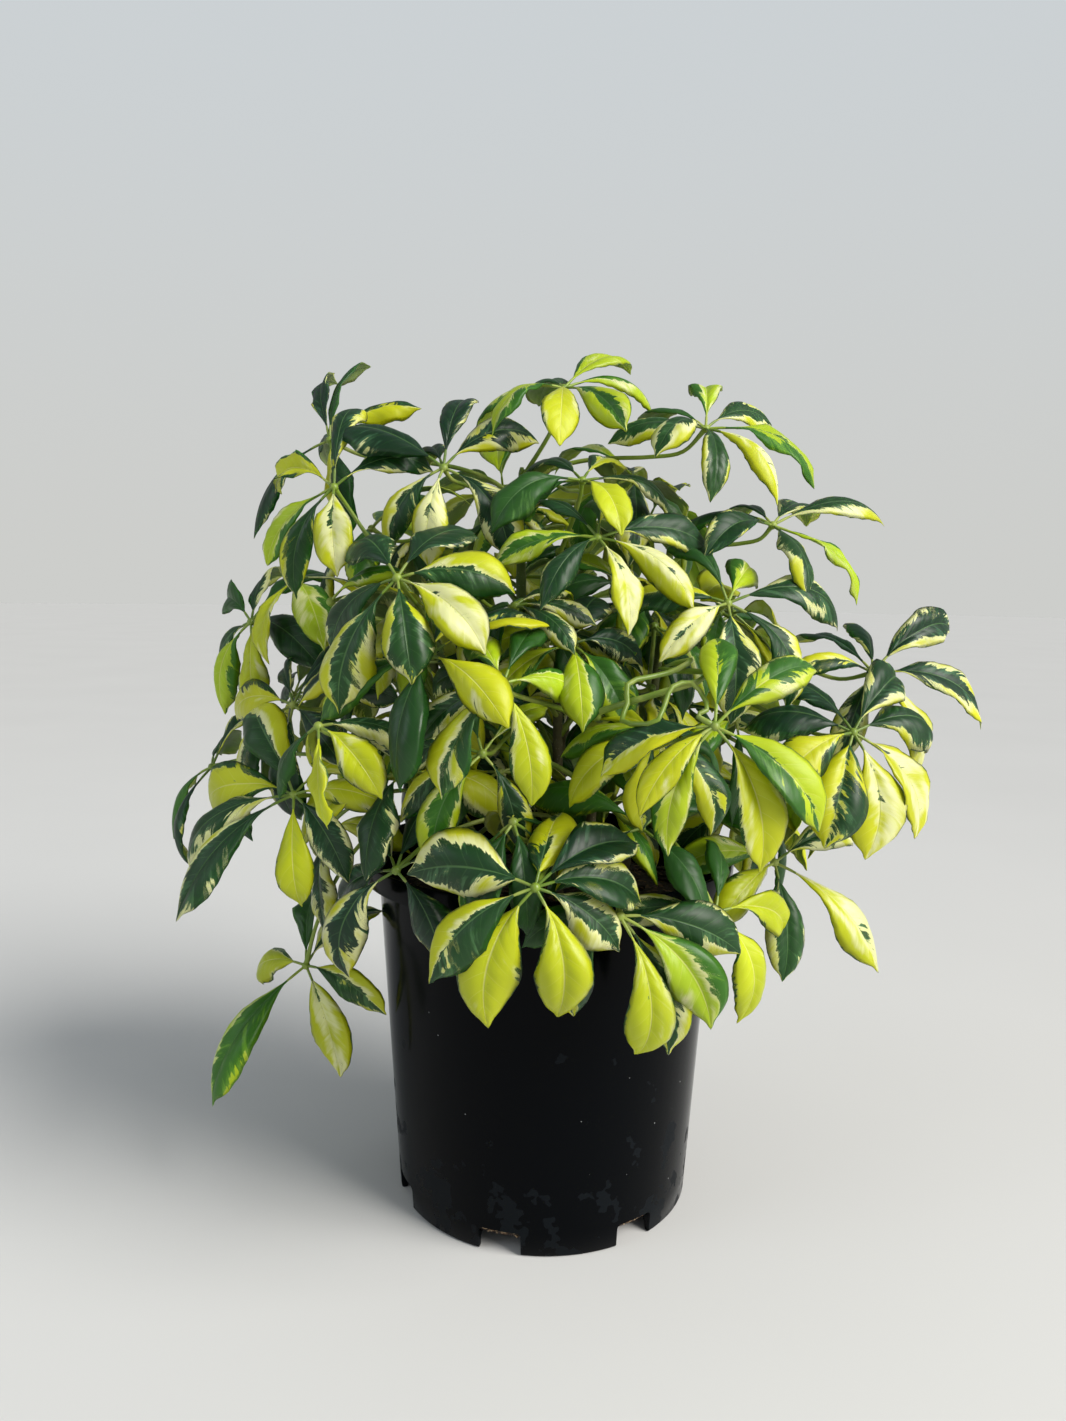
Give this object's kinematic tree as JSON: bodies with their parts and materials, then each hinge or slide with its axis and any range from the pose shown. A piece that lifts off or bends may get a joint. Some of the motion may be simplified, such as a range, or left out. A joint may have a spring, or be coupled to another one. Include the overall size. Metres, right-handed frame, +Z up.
{
  "type": "potted umbrella plant",
  "caption": "Bushy variegated dwarf umbrella tree with drooping palmate leaves, standing in a round black plastic nursery pot with a stepped collar and a notched foot.",
  "frame": {"origin": "centre of the pot's foot, on the surface that the pot stands on", "axes": "+Z up along the pot's axis, -Y towards the viewer, +X to the viewer's right"},
  "size_m": [0.4517, 0.2916, 0.4561],
  "materials": {
    "pot": "smooth moulded polypropylene, semi-gloss with water marks near the foot",
    "potting_mix": "dark bark-based potting mix, rough",
    "stem": "young green-brown bark with leaf scars",
    "leaf": "glossy leathery leaves, dark green with irregular yellow and cream variegation, on pale green stalks"
  },
  "bodies": {
    "root": {"pot": "pot", "potting_mix": "potting_mix", "stem_tall": "stem", "stem_middle": "stem", "stem_left": "stem", "stem_right": "stem", "stem_front": "stem", "stem_back": "stem", "umbrella_leaf_01": "leaf", "umbrella_leaf_02": "leaf", "umbrella_leaf_03": "leaf", "umbrella_leaf_04": "leaf", "umbrella_leaf_05": "leaf", "umbrella_leaf_06": "leaf", "umbrella_leaf_07": "leaf", "umbrella_leaf_08": "leaf", "umbrella_leaf_09": "leaf", "umbrella_leaf_10": "leaf", "umbrella_leaf_11": "leaf", "umbrella_leaf_12": "leaf", "umbrella_leaf_13": "leaf", "umbrella_leaf_14": "leaf", "umbrella_leaf_15": "leaf", "umbrella_leaf_16": "leaf", "umbrella_leaf_17": "leaf", "umbrella_leaf_18": "leaf", "umbrella_leaf_19": "leaf", "umbrella_leaf_20": "leaf", "umbrella_leaf_21": "leaf", "umbrella_leaf_22": "leaf", "umbrella_leaf_23": "leaf", "umbrella_leaf_24": "leaf", "umbrella_leaf_25": "leaf", "umbrella_leaf_26": "leaf", "umbrella_leaf_27": "leaf", "umbrella_leaf_28": "leaf", "umbrella_leaf_29": "leaf", "umbrella_leaf_30": "leaf", "umbrella_leaf_31": "leaf", "umbrella_leaf_32": "leaf", "umbrella_leaf_33": "leaf", "umbrella_leaf_34": "leaf", "umbrella_leaf_35": "leaf", "umbrella_leaf_36": "leaf", "umbrella_leaf_37": "leaf", "umbrella_leaf_38": "leaf", "umbrella_leaf_39": "leaf", "umbrella_leaf_40": "leaf", "umbrella_leaf_41": "leaf", "umbrella_leaf_42": "leaf", "umbrella_leaf_43": "leaf", "umbrella_leaf_44": "leaf", "umbrella_leaf_45": "leaf", "umbrella_leaf_46": "leaf", "umbrella_leaf_47": "leaf", "umbrella_leaf_48": "leaf", "umbrella_leaf_49": "leaf", "umbrella_leaf_50": "leaf"}
  },
  "joints": []
}
